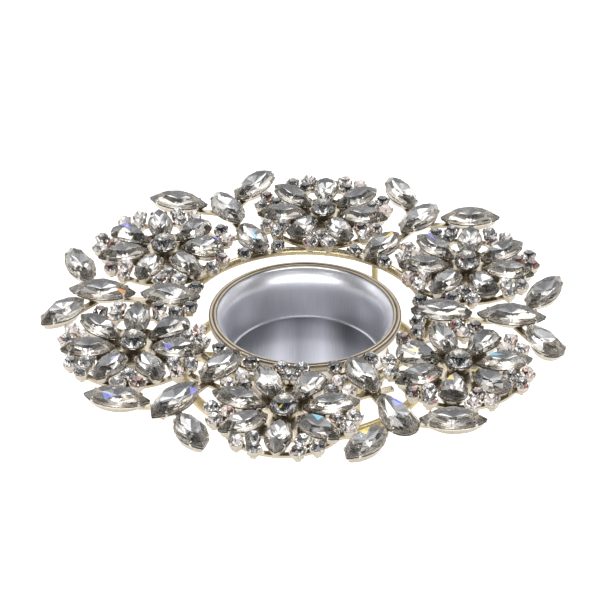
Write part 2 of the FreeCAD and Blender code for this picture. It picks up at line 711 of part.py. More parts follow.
def flower_jewels(index):
    """The stones of one flower and their settings."""
    angle = FIRST_FLOWER_ANGLE + FLOWER_STEP * index
    x, y = around(size("orbit"), angle)
    place = FreeCAD.Placement(FreeCAD.Vector(x, y, size("plate_top")), turn_about_z(angle))
    petal_pairs = []
    for petal, cut in enumerate(FLOWER_PETALS[index].split()):
        kind = f"petal_{cut}"
        bearing = FLOWER_TURNS[index] + PETAL_STEP * petal
        spot = around(size("petal_start") + KINDS[kind][1] / 2, bearing)
        petal_pairs.append(placed_pair(kind, *spot, bearing, PETAL_TILT))
    small_pairs = []
    for radius, bearing in small_stone_places(index):
        spot = around(radius, bearing)
        small_pairs.append(placed_pair("small", *spot, bearing + ROUND_CLAW_TURN))
    centre = placed_pair("centre", 0, 0, FLOWER_TURNS[index])
    jewel_node(f"centre_stone_{index + 1}", [centre[0]], place)
    jewel_node(f"petal_stones_{index + 1}", [pair[0] for pair in petal_pairs], place)
    jewel_node(f"small_stones_{index + 1}", [pair[0] for pair in small_pairs], place)
    all_pairs = [centre] + petal_pairs + small_pairs
    jewel_node(f"flower_settings_{index + 1}", [pair[1] for pair in all_pairs], place)


def spray_jewels(index):
    """The stones of one spray and their settings."""
    angle = FIRST_GAP_ANGLE + FLOWER_STEP * index
    place = FreeCAD.Placement(FreeCAD.Vector(0, 0, size("plate_top")), turn_about_z(angle))
    inner, outer, left, right = SPRAY_CUTS[index].split()
    along = 90 - LEAF_BEARING
    leaf_x = size("leaf_x")
    leaf_y = size("leaf_y")
    near_left = around(size("ring_chaton_radius"), RING_CHATON_BEARING)
    near_right = around(size("ring_chaton_radius"), -RING_CHATON_BEARING)
    pairs = [
        placed_pair(f"inner_{inner}", size("inner_x"), 0, 0),
        placed_pair(f"outer_{outer}", size("outer_x"), 0, 0),
        placed_pair(f"leaf_{left}", leaf_x, leaf_y, along, LEAF_TILT),
        placed_pair(f"leaf_{right}", leaf_x, -leaf_y, -along, LEAF_TILT),
        placed_pair("ring_small", *near_left, RING_CHATON_BEARING),
        placed_pair("ring_small", *near_right, -RING_CHATON_BEARING),
    ]
    jewel_node(f"spray_stones_{index + 1}", [pair[0] for pair in pairs], place)
    jewel_node(f"spray_settings_{index + 1}", [pair[1] for pair in pairs], place)


candle_cup()
base_ring = wire_ring("base_ring", "Sizes.base_wire", "0")
upper_ring = wire_ring("upper_ring", "Sizes.upper_wire", UPPER_RING_LEVEL)
upright_posts(base_ring, upper_ring)
cup_seat()
seat_ring()
for flower in range(FLOWERS):
    flower_plate(flower)
for gap in range(FLOWERS):
    spray_frame(gap)
doc.recompute()
for flower in range(FLOWERS):
    flower_jewels(flower)
for gap in range(FLOWERS):
    spray_jewels(gap)
doc.recompute()

# Nothing is written unless every object computed and every node is sound
for item in doc.Objects:
    if "Invalid" in item.State or "Error" in item.State:
        raise RuntimeError(f"{item.Label} failed: {item.State}")
for node in nodes:
    if node.Shape.isNull() or not node.Shape.isValid():
        raise RuntimeError(f"{node.Label} has no sound shape")

os.makedirs("parts", exist_ok=True)
for node in nodes:
    node.Shape.exportStep(f"parts/{node.Label}.step")
print(f"{len(nodes)} nodes, {sum(len(node.Shape.Solids) for node in nodes)} solids")
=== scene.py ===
import math
from functools import partial

import bpy
import numpy as np
from bpy.props import FloatProperty, FloatVectorProperty, PointerProperty
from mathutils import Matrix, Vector


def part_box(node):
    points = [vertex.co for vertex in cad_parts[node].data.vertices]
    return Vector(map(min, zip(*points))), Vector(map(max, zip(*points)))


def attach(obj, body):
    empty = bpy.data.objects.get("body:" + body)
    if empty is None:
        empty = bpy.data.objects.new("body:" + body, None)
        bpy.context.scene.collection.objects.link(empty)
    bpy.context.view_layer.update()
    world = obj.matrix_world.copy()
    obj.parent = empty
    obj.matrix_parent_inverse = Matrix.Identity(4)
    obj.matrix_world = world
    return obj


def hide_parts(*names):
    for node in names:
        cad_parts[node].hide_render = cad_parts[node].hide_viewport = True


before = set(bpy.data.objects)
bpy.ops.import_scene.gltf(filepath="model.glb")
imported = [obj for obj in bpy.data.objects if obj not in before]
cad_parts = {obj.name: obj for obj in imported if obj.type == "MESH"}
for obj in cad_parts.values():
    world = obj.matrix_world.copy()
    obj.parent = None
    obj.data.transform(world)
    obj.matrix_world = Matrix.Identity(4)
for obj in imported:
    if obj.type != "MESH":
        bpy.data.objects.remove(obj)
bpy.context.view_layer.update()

bl_info = {
    "name": "Jewelled Candle Ring",
    "version": (1, 0, 0),
    "blender": (4, 5, 0),
    "location": "3D View > Sidebar > Candle Ring",
    "description": "Stone flowers and leaf sprays around a loose metal cup for one small candle",
    "category": "Add Mesh",
}

# The wreath: six flowers and six sprays. Counts and angles (in degrees) are the CAD part's
FLOWERS = 6
PETALS = 7
FIRST_FLOWER_ANGLE = 23.7
FIRST_GAP_ANGLE = 53.7
FLOWER_STEP = 360 / FLOWERS
PETAL_STEP = 360 / PETALS
PETAL_TILT = 4
LEAF_TILT = 4
LEAF_BEARING = 30.5
RING_CHATON_BEARING = 9.5
ROUND_CLAW_TURN = -22.5
# How far each flower is turned in its own place, and the cuts of its petals from there on
FLOWER_TURNS = (7.4, 2.3, 5.8, -11.8, 0.0, -12.0)
FLOWER_PETALS = (
    "pointed pointed pointed pointed pointed pear pointed",
    "pear pointed pointed pear pointed pointed pointed",
    "pear pointed pointed pointed broad pear pointed",
    "pointed pointed pointed pointed pear pointed pointed",
    "pointed pointed pointed pear pointed pointed pointed",
    "pear pointed pear pointed broad pointed pear",
)
# The cuts of each spray's inner stone, outer stone, left leaf and right leaf
SPRAY_CUTS = (
    "pointed pointed pointed pointed",
    "pointed pointed pointed oval",
    "pointed pointed pointed pointed",
    "pointed pointed pointed pointed",
    "pointed pear pointed pointed",
    "oval pointed pointed pear",
)

# Each kind of stone: its cut, then in millimetres its length, its width, its height above
# the edge (crown) and below it (depth), and the stem of the setting under it
KINDS = {
    "petal_pointed": ("pointed", 15.4, 7.6, 2.3, 1.6, 0.5),
    "petal_pear": ("pear", 13.5, 8.2, 2.3, 1.6, 0.5),
    "petal_broad": ("pear", 13.0, 10.4, 2.3, 1.6, 0.5),
    "centre": ("round", 7.5, 7.5, 2.2, 2.3, 0.9),
    "small": ("round", 4.2, 4.2, 1.3, 1.4, 0.9),
    "ring_small": ("round", 4.2, 4.2, 1.3, 1.4, 0.4),
    "inner_pointed": ("pointed", 17.5, 8.8, 2.5, 1.6, 0.4),
    "inner_oval": ("oval", 17.5, 8.8, 2.5, 1.6, 0.4),
    "outer_pointed": ("pointed", 19.6, 9.4, 2.5, 1.6, 0.4),
    "outer_pear": ("pear", 19.6, 9.4, 2.5, 1.6, 0.4),
    "leaf_pointed": ("pointed", 18.0, 8.4, 2.5, 1.6, 0.4),
    "leaf_oval": ("oval", 18.0, 8.4, 2.5, 1.6, 0.4),
    "leaf_pear": ("pear", 18.0, 8.4, 2.5, 1.6, 0.4),
}
# Places in millimetres from the ring's middle: the flowers' middles, the stones of a spray, the
# small stones beside the cup, and the two wire rings
ORBIT = 51.76
INNER_X = 38.75
OUTER_X = 58.5
LEAF_X = 67.39
LEAF_Y = 12.59
RING_SMALL_RADIUS = 32.7
RING_RADIUS = 35.2
# From a flower's middle: the petals' inner ends, the small stones between two petals, and the
# angle by which the outer two of them stand to each side
PETAL_START = 4.9
INNER_SMALL_RADIUS = 14.98
OUTER_SMALL_RADIUS = 18.98
PAIR_ANGLE = 8.18
# Height of the plates, gap between a stone and its setting, half the height of the band round
# a stone, and the part of a stone's length that its setting's foot takes up
PLATE_TOP = 21.0
FIT_GAP = 0.08
HALF_BAND = 0.15
FOOT_SHARE = 0.62
# Corners of a stone's table
SIDES = 8

# Painted flashes, colours that glow on facets in place of those that cut glass throws, and
# the facets that glow: for each piece the face's number, the wedge of that face and the colour
PAINTED_FLASH_COLOURS = {
    "blue": "#5f78f0",
    "violet": "#7f7cee",
    "cyan": "#62cdf0",
    "yellow": "#f0d850",
    "amber": "#eb9a4c",
    "rose": "#cd7c72",
    "brown": "#8c4640",
    "white": "#f3f0fc",
}
PAINTED_FLASHES = {
    "flower_heart_1": ((5, 2, "rose"),),
    "flower_heart_5": ((9, 0, "yellow"), (2, 2, "white")),
    "petal_cut_1": ((66, 7, "violet"),),
    "petal_cut_3": ((133, 3, "violet"), (0, 7, "violet")),
    "petal_cut_4": ((105, 4, "violet"), (33, 2, "violet")),
    "petal_cut_5": ((33, 2, "cyan"),),
    "petal_cut_6": ((33, 3, "cyan"), (198, 5, "yellow"), (5, 0, "yellow"), (140, 0, "white"),
                    (132, 1, "yellow"), (54, 2, "rose"), (168, 1, "rose")),
    "small_cut_1": ((413, 3, "yellow"), (411, 1, "violet"), (429, 4, "brown"),
                    (510, 1, "amber")),
    "small_cut_3": ((429, 4, "rose"),),
    "small_cut_4": ((468, 2, "rose"), (297, 3, "rose")),
    "small_cut_5": ((462, 2, "rose"),),
    "small_cut_6": ((349, 1, "brown"), (198, 2, "brown"), (297, 1, "brown"), (594, 3, "rose")),
    "spray_cut_1": ((0, 7, "yellow"),),
    "spray_cut_2": ((0, 3, "cyan"),),
    "spray_cut_3": ((37, 0, "amber"), (3, 4, "white")),
    "spray_cut_4": ((101, 4, "blue"), (36, 3, "violet")),
    "spray_cut_5": ((33, 2, "blue"), (99, 5, "yellow")),
}


# ---------------------------------------------------------------- mesh helpers

def joined(parts):
    """Several (points, faces, marks) patterns as one: points stacked, face corners shifted."""
    starts = np.cumsum([0] + [len(points) for points, _, _ in parts])
    faces = [tuple(corner + start for corner in face)
             for start, (_, some_faces, _) in zip(starts.tolist(), parts) for face in some_faces]
    marks = [mark for _, _, some_marks in parts for mark in some_marks]
    return np.vstack([points for points, _, _ in parts]), faces, marks


def placement(x, y, z, turn, tilt=0.0):
    """A 4 x 4 matrix: tilt about Y, turn about Z (degrees), then the shift (millimetres)."""
    t, p = math.radians(turn), math.radians(-tilt)
    about_z = np.array([[math.cos(t), -math.sin(t), 0], [math.sin(t), math.cos(t), 0], [0, 0, 1]])
    about_y = np.array([[math.cos(p), 0, math.sin(p)], [0, 1, 0], [-math.sin(p), 0, math.cos(p)]])
    matrix = np.eye(4)
    matrix[:3, :3] = about_z @ about_y
    matrix[:3, 3] = (x, y, z)
    return matrix


def moved(pattern, matrix):
    """The pattern with each point p taken to matrix times p."""
    points, faces, marks = pattern
    return points @ matrix[:3, :3].T + matrix[:3, 3], faces, marks


def outward(pattern):
    """The pattern with its faces turned over if they enclose a negative volume: the sum over
    all triangles of corner a times the cross product of corners b and c."""
    points, faces, marks = pattern
    fans = np.array([(face[0], face[i], face[i + 1]) for face in faces
                     for i in range(1, len(face) - 1)])
    a, b, c = points[fans[:, 0]], points[fans[:, 1]], points[fans[:, 2]]
    if np.sum(a * np.cross(b, c)) < 0:
        faces = [tuple(reversed(face)) for face in faces]
    return points, faces, marks


def new_piece(name, pattern, materials, body=None, stands_for=(), smooth=False,
              seed=0, uv=None):
    """A mesh object in metres from points in millimetres; marks give each face's material.
    With a seed each face gets a facet_tone between 0 and 1 and a glowing painted flash colour,
    black on all but the wedges in PAINTED_FLASHES. A face with one is cut into wedges that meet
    in its middle.
    uv is one pair for each point."""
    points, faces, marks = pattern
    count = len(faces)
    owners = list(range(count))
    lit = {}
    for face, wedge, colour_name in PAINTED_FLASHES.get(name, ()):
        corners = list(faces[face][wedge:]) + list(faces[face][:wedge])
        points = np.vstack([points, points[corners].mean(axis=0)])
        middle = len(points) - 1
        faces = faces[:face] + [(corners[0], corners[1], middle)] + faces[face + 1:]
        rest = [(start, end, middle)
                for start, end in zip(corners[1:], corners[2:] + corners[:1])]
        faces = faces + rest
        marks = list(marks) + [marks[face]] * len(rest)
        owners += [face] * len(rest)
        lit[face] = linear(PAINTED_FLASH_COLOURS[colour_name])
    mesh = bpy.data.meshes.new(name)
    mesh.from_pydata((points / 1000).tolist(), [], faces)
    for material in materials:
        mesh.materials.append(material)
    mesh.polygons.foreach_set("material_index", np.array(marks, dtype=np.int32))
    mesh.polygons.foreach_set("use_smooth", np.full(len(faces), smooth))
    if seed:
        tone = mesh.attributes.new("facet_tone", "FLOAT", "FACE")
        tones = np.random.default_rng(seed).random(count).astype(np.float32)
        tone.data.foreach_set("value", tones[owners])
        colours = np.zeros((len(faces), 4), dtype=np.float32)
        for face, light in lit.items():
            colours[face] = light
        painted_flash = mesh.attributes.new("painted_flash", "FLOAT_COLOR", "FACE")
        painted_flash.data.foreach_set("color", colours.ravel())
    if uv is not None:
        corners = np.concatenate([np.asarray(face) for face in faces])
        layer = mesh.uv_layers.new(name="strokes")
        layer.data.foreach_set("uv", np.asarray(uv, dtype=np.float32)[corners].ravel())
    mesh.update()
    piece = bpy.data.objects.new(name, mesh)
    bpy.context.scene.collection.objects.link(piece)
    if body:
        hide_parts(*stands_for)
        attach(piece, body)
    return piece


def ring_stack(rings, close_start=True, close_end=True, marks=None):
    """Rings of points, one above the other, joined by quads and closed by flat ends; marks
    give the material of each strip between two rings."""
    rows, columns = len(rings), len(rings[0])
    row, column = np.meshgrid(np.arange(rows - 1), np.arange(columns), indexing="ij")
    a = row * columns + column
    b = row * columns + (column + 1) % columns
    faces = np.stack([a, b, b + columns, a + columns], axis=-1).reshape(-1, 4).tolist()
    marks = np.repeat(np.zeros(rows - 1, int) if marks is None else marks, columns).tolist()
    first, last = marks[0], marks[-1]
    if close_start:
        faces.append(range(columns - 1, -1, -1))
        marks.append(first)
    if close_end:
        faces.append(range((rows - 1) * columns, rows * columns))
        marks.append(last)
    return np.vstack(rings), [tuple(face) for face in faces], marks


def turned_wire(path_radius, middle, radius, columns=160, corners=16):
    """A round wire bent to a ring: the circle of its cut, r = R + w cos u and z = m + w sin u,
    turned about Z."""
    u = np.arange(corners) * 2 * np.pi / corners
    v = np.arange(columns) * 2 * np.pi / columns
    out = path_radius + radius * np.cos(u)[:, None]
    points = np.stack(np.broadcast_arrays(out * np.cos(v), out * np.sin(v),
                                          middle + radius * np.sin(u)[:, None]), axis=-1)
    row, column = np.meshgrid(np.arange(corners), np.arange(columns), indexing="ij")
    next_row, next_column = (row + 1) % corners, (column + 1) % columns
    faces = np.stack([row * columns + column, row * columns + next_column,
                      next_row * columns + next_column, next_row * columns + column], axis=-1)
    faces = [tuple(face) for face in faces.reshape(-1, 4).tolist()]
    return outward((points.reshape(-1, 3), faces, [0] * len(faces)))


# ---------------------------------------------------------------- stones

# Makes the greatest value of sin t cos(t / 2) one
PEAR_SCALE = 1.5 * math.sqrt(3) / 2


def outline(cut, length, width, angle):
    """Edge of a cut stone: x = a cos t, and y = b sin t for round and oval, two arcs that
    meet at both ends for pointed, and y = k b sin t cos(t / 2) for pear."""
    a, b = length / 2, width / 2
    x = a * np.cos(angle)
    if cut == "pointed":
        arc = (a * a + b * b) / (2 * b)
        y = np.maximum(np.sqrt(arc * arc - x * x) - (arc - b), 0) * np.sign(np.sin(angle))
    elif cut == "pear":
        turn = np.mod(angle, 2 * np.pi)
        y = PEAR_SCALE * b * np.sin(turn) * np.abs(np.cos(turn / 2))
    else:
        y = b * np.sin(angle)
    y = np.where(np.abs(y) < 1e-6, 0, y)
    return np.stack([x, y], axis=-1)


def level(edge, share, height):
    """The outline drawn in towards its middle by a share and set at a height."""
    return np.column_stack([edge * share, np.full(len(edge), 1.0) * height])


def face_rows(parts):
    """Faces as tuples; each part gives the corners of its faces as arrays of one length."""
    return [tuple(face) for part in parts for face in np.stack(part, axis=-1).tolist()]


def bold_cut(cut, length, width, crown, depth, table):
    """A pressed stone of few large facets: a flat table, one sloping facet from each of its
    sides to the edge band, and one long facet from there to the point below. Between two
    corners the outline bulges by d past their chord, so the upper line of the band drops by
    d times the crown's slope there and the lower line rises by d times the pavilion's slope.
    Marks of all three cuts: 0 polished, 1 with foil behind it and 2 as pressed."""
    edge = outline(cut, length, width, np.arange(2 * SIDES) * np.pi / SIDES)
    corner, following = edge[::2], np.roll(edge[::2], -1, axis=0)
    chord = following - corner
    run = np.hypot(*chord.T)
    reach = np.abs(corner[:, 0] * following[:, 1] - corner[:, 1] * following[:, 0]) / run
    offset = edge[1::2] - corner
    bulge = np.abs(offset[:, 0] * chord[:, 1] - offset[:, 1] * chord[:, 0]) / run
    # Heights of the band's two lines at the corners, and half the least room between them
    top_line, low_line, half_room = 0.3, -0.2, 0.03
    foot = depth * 0.98
    upper = np.full(2 * SIDES, top_line)
    lower = np.full(2 * SIDES, low_line)
    high = top_line - bulge * (crown - top_line) / ((1 - table) * reach)
    low = low_line + bulge * (foot + low_line) / reach
    upper[1::2] = np.maximum(high, (high + low) / 2 + half_room)
    lower[1::2] = np.minimum(low, (high + low) / 2 - half_room)
    rows = [level(corner, table, crown), level(edge, 1, upper), level(edge, 1, lower),
            np.array([[0.0, 0.0, -foot]])]
    top, over, under, point = 0, SIDES, 3 * SIDES, 5 * SIDES
    i, g = np.arange(SIDES), np.arange(2 * SIDES)
    next_i, next_g, far = (i + 1) % SIDES, (g + 1) % (2 * SIDES), (2 * i + 2) % (2 * SIDES)
    faces = [tuple(i.tolist())] + face_rows([
        (top + i, over + 2 * i, over + 2 * i + 1, over + far, top + next_i),
        (over + g, under + g, under + next_g, over + next_g),
        (np.full(SIDES, point), under + far, under + 2 * i + 1, under + 2 * i)])
    return np.vstack(rows), faces, [0] + [2] * (3 * SIDES) + [1] * SIDES


def full_cut(diameter, crown, depth, table):
    """A round stone with all its facets: table, stars, kites and half facets above the band,
    half facets and long facets below. A corner row at share s of the outline lies at the
    height of the straight slope between table (or point) and band."""
    edge = outline("round", diameter, diameter, np.arange(2 * SIDES) * np.pi / SIDES)
    star, low, foot, slope = 0.84, 0.7, depth * 0.98, math.cos(math.pi / SIDES)
    star_height = HALF_BAND + (crown - HALF_BAND) * (1 - star * slope) / (1 - table)
    low_height = -HALF_BAND - (foot - HALF_BAND) * (1 - low * slope)
    rows = [level(edge[::2], table, crown), level(edge[1::2], star, star_height),
            level(edge, 1, HALF_BAND), level(edge, 1, -HALF_BAND),
            level(edge[1::2], low, low_height), np.array([[0.0, 0.0, -foot]])]
    top, mid, over, under, deep, point = (np.array([0, 1, 2, 4, 6, 7]) * SIDES).tolist()
    i = np.arange(SIDES)
    j, before = (i + 1) % SIDES, (i - 1) % SIDES
    g0, g1, g2 = 2 * i, 2 * i + 1, (2 * i + 2) % (2 * SIDES)
    tip = np.full(SIDES, point)
    crown_faces = [(top + i, mid + i, top + j), (top + i, mid + before, over + g0),
                   (top + i, over + g0, mid + i), (mid + i, over + g0, over + g1),
                   (mid + i, over + g1, over + g2),
                   (over + g0, under + g0, under + g1, over + g1),
                   (over + g1, under + g1, under + g2, over + g2)]
    low_faces = [(deep + i, under + g1, under + g0), (deep + i, under + g2, under + g1),
                 (tip, under + g0, deep + before), (tip, deep + i, under + g0)]
    faces = [tuple(i.tolist())] + face_rows(crown_faces + low_faces)
    return np.vstack(rows), faces, [0] * (1 + 7 * SIDES) + [1] * (4 * SIDES)


def small_cut(diameter, crown, depth, table):
    """A small round stone of few faces: table, a zigzag of crown triangles, band and cone."""
    edge = outline("round", diameter, diameter, np.arange(2 * SIDES) * np.pi / SIDES)
    rows = [level(edge[::2], table, crown), level(edge[1::2], 1, HALF_BAND),
            level(edge[1::2], 1, -HALF_BAND), np.array([[0.0, 0.0, -depth * 0.97]])]
    top, over, under, point = (np.arange(4) * SIDES).tolist()
    i = np.arange(SIDES)
    j = (i + 1) % SIDES
    faces = [tuple(i.tolist())] + face_rows([
        (top + i, over + i, top + j), (top + j, over + i, over + j),
        (over + i, under + i, under + j, over + j),
        (np.full(SIDES, point), under + j, under + i)])
    return np.vstack(rows), faces, [0] * (1 + 3 * SIDES) + [1] * SIDES


# ---------------------------------------------------------------- settings

def setting_boat(cut, length, width, depth, stem, small):
    """A thin metal boat under a stone: rings of the outline, each a share of its size at a
    height, from the foot on the plate up the outside, over the lip into the dark seam below
    the stone's edge, and down under its point. The seam's two strips, marked 1, are painted
    shadow."""
    columns = 8 if small else 24
    first = np.pi / 8 if small else 0
    edge = outline(cut, length, width, np.arange(columns) * 2 * np.pi / columns + first)
    floor = -depth - FIT_GAP - stem
    if small:
        steps = [(0.66, floor), (0.9, floor + 0.6), (1.0, -0.35), (0.93, -0.22)]
        marks = [0, 0, 0, 0]
    else:
        steps = [(0.74, floor), (0.82, floor + 0.5), (0.9, -depth * 0.75), (0.97, -depth * 0.5),
                 (0.99, -0.6), (0.98, -0.52), (0.955, -0.46), (0.955, -0.23), (0.88, -0.3)]
        marks = [0, 0, 0, 0, 0, 1, 1, 0, 0]
    steps.append((0.06, -depth - FIT_GAP * 0.5))
    return outward(ring_stack([level(edge, *step) for step in steps], marks=marks))


def prong(path, half_breadths, half_depths, start, out, corners):
    """A bent claw: ovals carried along a path of (out, up) pairs in the plane square to the
    stone's edge, each oval square to the path, closed at both ends."""
    path = np.asarray(path, float)
    direction = np.gradient(path, axis=0)
    direction /= np.linalg.norm(direction, axis=1)[:, None]
    normal = np.column_stack([direction[:, 1], -direction[:, 0]])
    angle = np.arange(corners) * 2 * np.pi / corners + np.pi / corners
    across = np.asarray(half_breadths)[:, None] * np.sin(angle)
    away = np.asarray(half_depths)[:, None] * np.cos(angle)
    far = path[:, :1] + normal[:, :1] * away
    up = path[:, 1:] + normal[:, 1:] * away
    along = np.array([-out[1], out[0]])
    flat = start + far[..., None] * out + across[..., None] * along
    return ring_stack(list(np.concatenate([flat, up[..., None]], axis=-1)))


def claws(cut, length, width, crown, depth, table, small, breadth, thickness):
    """Four prongs that rise beside the stone and fold over its upper facets."""
    count = 8 if cut == "round" else 12
    edge = outline(cut, length, width, np.arange(count) * 2 * np.pi / count)
    parts = []
    for index in ((0, 2, 4, 6) if count == 8 else (1, 4, 7, 10)):
        first, second = edge[index], edge[(index + 1) % count]
        run = second - first
        out = np.array([run[1], -run[0]]) / np.hypot(*run)
        middle = (first + second) / 2
        reach = float(out @ middle)
        # The crown's rise for each millimetre inwards
        slope = (crown - HALF_BAND) / ((1.02 - table) * reach)
        bulge = 0.05 if small else 0.1
        # Millimetres out from the stone's edge and up: a foot under the stone, the leg beside
        # it, the knee over its edge and the tip on its upper facets
        path = [(0.2 - 0.5 * reach, -depth * 1.05), (0.24 - 0.14 * reach, -0.2 - 0.6 * depth),
                (0.22 + bulge, -0.15), (0.2 + bulge, 0.36), (0.08, 0.5 + 0.12 * slope),
                (-0.3, 0.55 + 0.3 * slope)]
        # Narrower and thinner towards the tip
        wide = np.array([1.0, 1.0, 1.0, 1.0, 0.9, 0.5]) * breadth / 2
        thick = np.array([0.85, 0.9, 1.0, 1.0, 0.85, 0.5]) * thickness / 2
        if small:
            path, wide, thick = path[1:], 0.8 * wide[1:], thick[1:]
        parts.append(prong(path, wide, thick, middle, out, 5 if small else 8))
    return joined(parts)


# Stone and setting of each kind, worked out once for each choice of sizes
PATTERNS = {}


def placed_pair(sizes, kind, x, y, turn, tilt=0.0):
    """A stone and its setting on the plate at z = 0, outer end raised by the tilt."""
    cut, length, width, crown, depth, stem = KINDS[kind]
    lean = length * FOOT_SHARE / 2 * math.sin(math.radians(tilt))
    small = kind.endswith("small")
    key = kind, sizes.table_share, sizes.claw_breadth, sizes.claw_thickness
    if key not in PATTERNS:
        table = sizes.table_share / 100
        if small:
            held = small_cut(length, crown, depth, table)
        elif cut == "round":
            held = full_cut(length, crown, depth, table)
        else:
            held = bold_cut(cut, length, width, crown, depth, table)
        setting = joined([setting_boat(cut, length, width, depth, stem + 2 * lean, small),
                          claws(cut, length, width, crown, depth, table, small,
                                sizes.claw_breadth * 1000, sizes.claw_thickness * 1000)])
        PATTERNS[key] = held, setting
    held, setting = PATTERNS[key]
    matrix = placement(x, y, depth + FIT_GAP + stem + lean, turn, tilt)
    points, faces, marks = moved(setting, matrix)
    points[:, 2] = np.maximum(points[:, 2], 0)
    return moved(held, matrix), (points, faces, marks)


def around(radius, angle):
    """A point at a radius and an angle in degrees."""
    return radius * math.cos(math.radians(angle)), radius * math.sin(math.radians(angle))


def flower_frame(index):
    """The flower's own axes on top of its plate."""
    angle = FIRST_FLOWER_ANGLE + FLOWER_STEP * index
    return placement(*around(ORBIT, angle), PLATE_TOP, angle)


def spray_frame(index):
    """The spray's own axes on top of its bars."""
    return placement(0, 0, PLATE_TOP, FIRST_GAP_ANGLE + FLOWER_STEP * index)


def flower_pairs(family, sizes, index):
    """Stone and setting pairs of one flower: its centre, petal or small stones."""
    turn = FLOWER_TURNS[index]
    petals = FLOWER_PETALS[index].split()
    if family == "centre":
        return [placed_pair(sizes, "centre", 0, 0, turn)]
    pairs = []
    for number, cut in enumerate(petals):
        bearing = turn + PETAL_STEP * number
        if family == "petal":
            kind = f"petal_{cut}"
            spot = around(PETAL_START + KINDS[kind][1] / 2, bearing)
            pairs.append(placed_pair(sizes, kind, *spot, bearing, PETAL_TILT))
            continue
        bearing += PETAL_STEP / 2
        places = [(OUTER_SMALL_RADIUS, bearing - PAIR_ANGLE),
                  (OUTER_SMALL_RADIUS, bearing + PAIR_ANGLE)]
        if "broad" not in (cut, petals[(number + 1) % PETALS]):
            places.append((INNER_SMALL_RADIUS, bearing))
        for radius, angle in places:
            pairs.append(placed_pair(sizes, "small", *around(radius, angle),
                                     angle + ROUND_CLAW_TURN))
    return pairs


def all_flower_pairs(sizes, index):
    """Every stone and setting pair of one flower."""
    return [pair for family in ("centre", "petal", "small")
            for pair in flower_pairs(family, sizes, index)]


def spray_pairs(sizes, index):
    """Stone and setting pairs of one spray: inner, outer, two leaves and two small ones."""
    inner, outer, left, right = SPRAY_CUTS[index].split()
    along = 90 - LEAF_BEARING
    small = RING_CHATON_BEARING
    return [
        placed_pair(sizes, f"inner_{inner}", INNER_X, 0, 0),
        placed_pair(sizes, f"outer_{outer}", OUTER_X, 0, 0),
        placed_pair(sizes, f"leaf_{left}", LEAF_X, LEAF_Y, along, LEAF_TILT),
        placed_pair(sizes, f"leaf_{right}", LEAF_X, -LEAF_Y, -along, LEAF_TILT),
        placed_pair(sizes, "ring_small", *around(RING_SMALL_RADIUS, small), small),
        placed_pair(sizes, "ring_small", *around(RING_SMALL_RADIUS, -small), -small),
    ]


# ---------------------------------------------------------------- materials

def linear(hex_colour):
    """An sRGB hex colour as linear red, green, blue and alpha 1."""
    parts = [int(hex_colour[i:i + 2], 16) / 255 for i in (1, 3, 5)]
    return (*(p / 12.92 if p <= 0.04045 else ((p + 0.055) / 1.055) ** 2.4 for p in parts), 1.0)


def node(tree, kind, inputs=None, links=None, stops=None, **settings):
    """Adds a shader node: settings are its own properties, inputs the values of its sockets,
    links what feeds them, where a node stands for its first output, and stops the places and
    colours of a ramp."""
    made = tree.nodes.new("ShaderNode" + kind)
    for name, value in settings.items():
        setattr(made, name, value)
    for name, value in (inputs or {}).items():
        made.inputs[name].default_value = value
    for name, source in (links or {}).items():
        tree.links.new(getattr(source, "outputs", (source,))[0], made.inputs[name])
    for place, (position, colour) in enumerate(stops or ()):
        elements = made.color_ramp.elements
        element = elements[place] if place < 2 else elements.new(position)
        element.position = position
        element.color = colour
    return made


def finish(name, build, *values):
    """The material of that name; build fills its tree anew and gives back its shader."""
    material = bpy.data.materials.get(name) or bpy.data.materials.new(name)
    material.use_nodes = True
    tree = material.node_tree
    tree.nodes.clear()
    shader = build(tree, *values)
    node(tree, "OutputMaterial", links={"Surface": shader})
    return material


def painted_flashes(tree):
    """Colour and strength of the painted flash that glows on single facets, seen from outside
    only.
    """
    painted_flash = node(tree, "Attribute", attribute_name="painted_flash")
    side = node(tree, "NewGeometry")
    outer = node(tree, "MapRange", {"To Min": 0.75, "To Max": 0.0},
                 {"Value": side.outputs["Backfacing"]})
    return {"Emission Color": painted_flash.outputs["Color"], "Emission Strength": outer}


# Lead glass, cut and polished. Clear, with sharp bright edges between its facets; single
# facets glow with a painted flash of colour in place of the light that the glass splits.
def lead_glass(tree, colour):
    spot = node(tree, "TexCoord").outputs["Object"]
    # Polishing marks are about 0.3 mm apart
    marks = node(tree, "TexNoise", {"Scale": 3000.0, "Detail": 2.0}, {"Vector": spot})
    rough = node(tree, "MapRange", {"From Min": 0.45, "From Max": 0.75, "To Min": 0.0,
                                    "To Max": 0.02}, {"Value": marks})
    return node(tree, "BsdfPrincipled",
                {"Base Color": colour, "IOR": 1.55, "Transmission Weight": 1.0},
                {"Roughness": rough, **painted_flashes(tree)})


# The same glass on the sloping facets, left as pressed. Paler than the polished table, with a
# thin milky bloom that catches the overhead light.
def pressed_glass(tree, colour):
    spot = node(tree, "TexCoord").outputs["Object"]
    # Flow marks of the pressing are about 0.7 mm apart
    flow = node(tree, "TexNoise", {"Scale": 1400.0, "Detail": 2.0}, {"Vector": spot})
    clear = node(tree, "MapRange", {"From Min": 0.3, "From Max": 0.7, "To Min": 0.88,
                                    "To Max": 1.0}, {"Value": flow})
    # The sloping facets glow with the same painted flashes
    return node(tree, "BsdfPrincipled",
                {"Base Color": colour, "IOR": 1.55, "Roughness": 0.0},
                {"Transmission Weight": clear, **painted_flashes(tree)})


